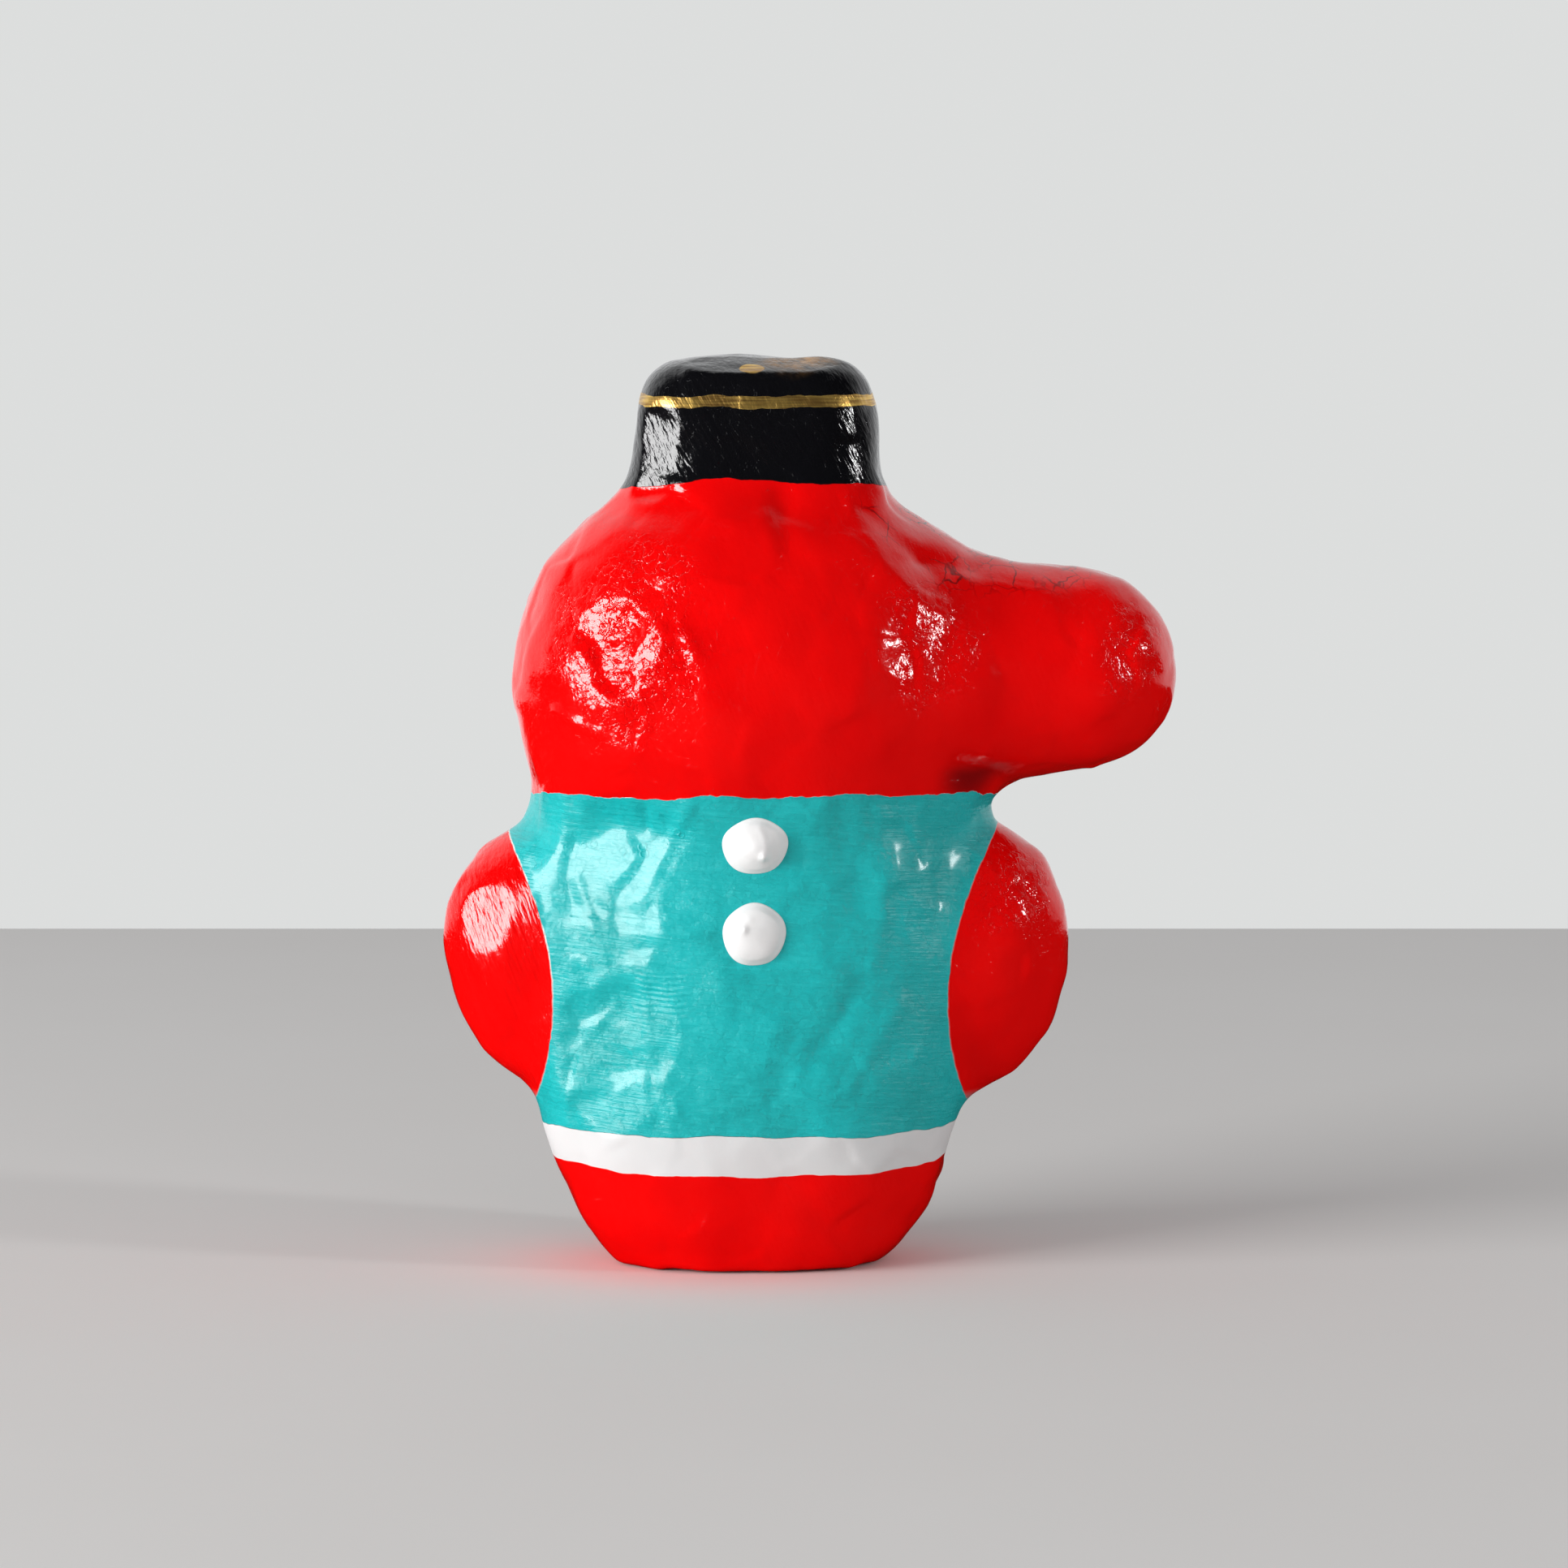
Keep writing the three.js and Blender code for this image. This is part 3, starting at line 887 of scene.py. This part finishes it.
# %% [markdown]
# ## The studio
#
# The table is plain and pale, and it ends a forearm's length behind the figure before a pale wall. A glossy
# red thing looks milky when it mirrors a pale room. In a studio black cards keep pale surfaces out of its
# reflections, and here the table and the front of the room are dark for mirrored rays only.
# %% The table
TABLE_BACK = 0.31
TABLE_FRONT = -1.5
TABLE_HALF = 2.5
PALE_TABLE = (0.86, 0.85, 0.83, 1.0)
DULL_TABLE = (0.83, 0.815, 0.79, 1.0)
BLACK_CARD = (0.02, 0.01, 0.006, 1.0)

bm = bmesh.new()
corners = [
    (-TABLE_HALF, TABLE_FRONT),
    (TABLE_HALF, TABLE_FRONT),
    (TABLE_HALF, TABLE_BACK),
    (-TABLE_HALF, TABLE_BACK),
]
bm.faces.new([bm.verts.new((x, y, 0.0)) for x, y in corners])
table = link("table", mesh_of(bm, "table"))
top = Finish("pale_table")
mirrored = top.node("ShaderNodeLightPath", {})["Is Glossy Ray"]
pale = top.mix(top.noise(70.0, 3.0), DULL_TABLE, PALE_TABLE)
seen_pale = top.node("ShaderNodeBsdfDiffuse", {"Color": pale})[0]
seen_dark = top.node("ShaderNodeBsdfDiffuse", {"Color": BLACK_CARD})[0]
surface = top.node("ShaderNodeMixShader", {0: mirrored, 1: seen_pale, 2: seen_dark})[0]
top.node("ShaderNodeOutputMaterial", {"Surface": surface})
table.data.materials.append(top.owner)
print("the table ends", TABLE_BACK, "m behind the figure")

# %% [markdown]
# A broad window on the left gives the large highlights, and a small one on the right gives the sparks.
# %% The windows
WINDOW_DISTANCE = 1.1


def window(name, direction, width, height, radiance):
    """A soft light that faces the figure from a direction. Its radiance doesn't depend on its size."""
    light = bpy.data.lights.new(name, "AREA")
    light.shape = "RECTANGLE"
    light.size = width
    light.size_y = height
    light.energy = radiance * math.pi * width * height
    lamp = link(name, light)
    lamp.location = (low + high) / 2 + Vector(direction).normalized() * WINDOW_DISTANCE
    lamp.rotation_mode = "QUATERNION"
    lamp.rotation_quaternion = Vector(direction).to_track_quat("Z", "Y")
    print(name, "gives", round(light.energy, 1), "W")


window("window_left", (-0.86, -0.5, 0.1), 0.6, 0.56, 16.3)
window("window_right", (0.91, -0.34, 0.26), 0.1, 0.2, 42.0)

# %% [markdown]
# The room fills the shadows evenly. Its far half is bright, and that draws the pale rims along the sides of
# the figure.
# %% The room
FILL = (0.35, 0.35, 0.36, 1.0)
MIRRORED_FRONT = (0.002, 0.002, 0.003, 1.0)
MIRRORED_BACK = (0.85, 0.86, 0.87, 1.0)
WALL = (0.72, 0.73, 0.725, 1.0)
BEHIND = 0.3  # how steeply a direction points to the back where the room turns bright

world = bpy.data.worlds.new("room")
room = Nodes(world)
_, back, _ = room.parts(room.node("ShaderNodeTexCoord", {})["Generated"])
rays = room.node("ShaderNodeLightPath", {})
mirrored = room.mix(back.step(BEHIND, BEHIND), MIRRORED_FRONT, MIRRORED_BACK)
light = room.mix(rays["Is Glossy Ray"], FILL, mirrored)
shown = room.mix(rays["Is Camera Ray"], light, WALL)
background = room.node("ShaderNodeBackground", {"Color": shown, "Strength": 1.0})[0]
room.node("ShaderNodeOutputWorld", {"Surface": background})
bpy.context.scene.world = world
print("the room has", len(room.tree.nodes), "nodes")
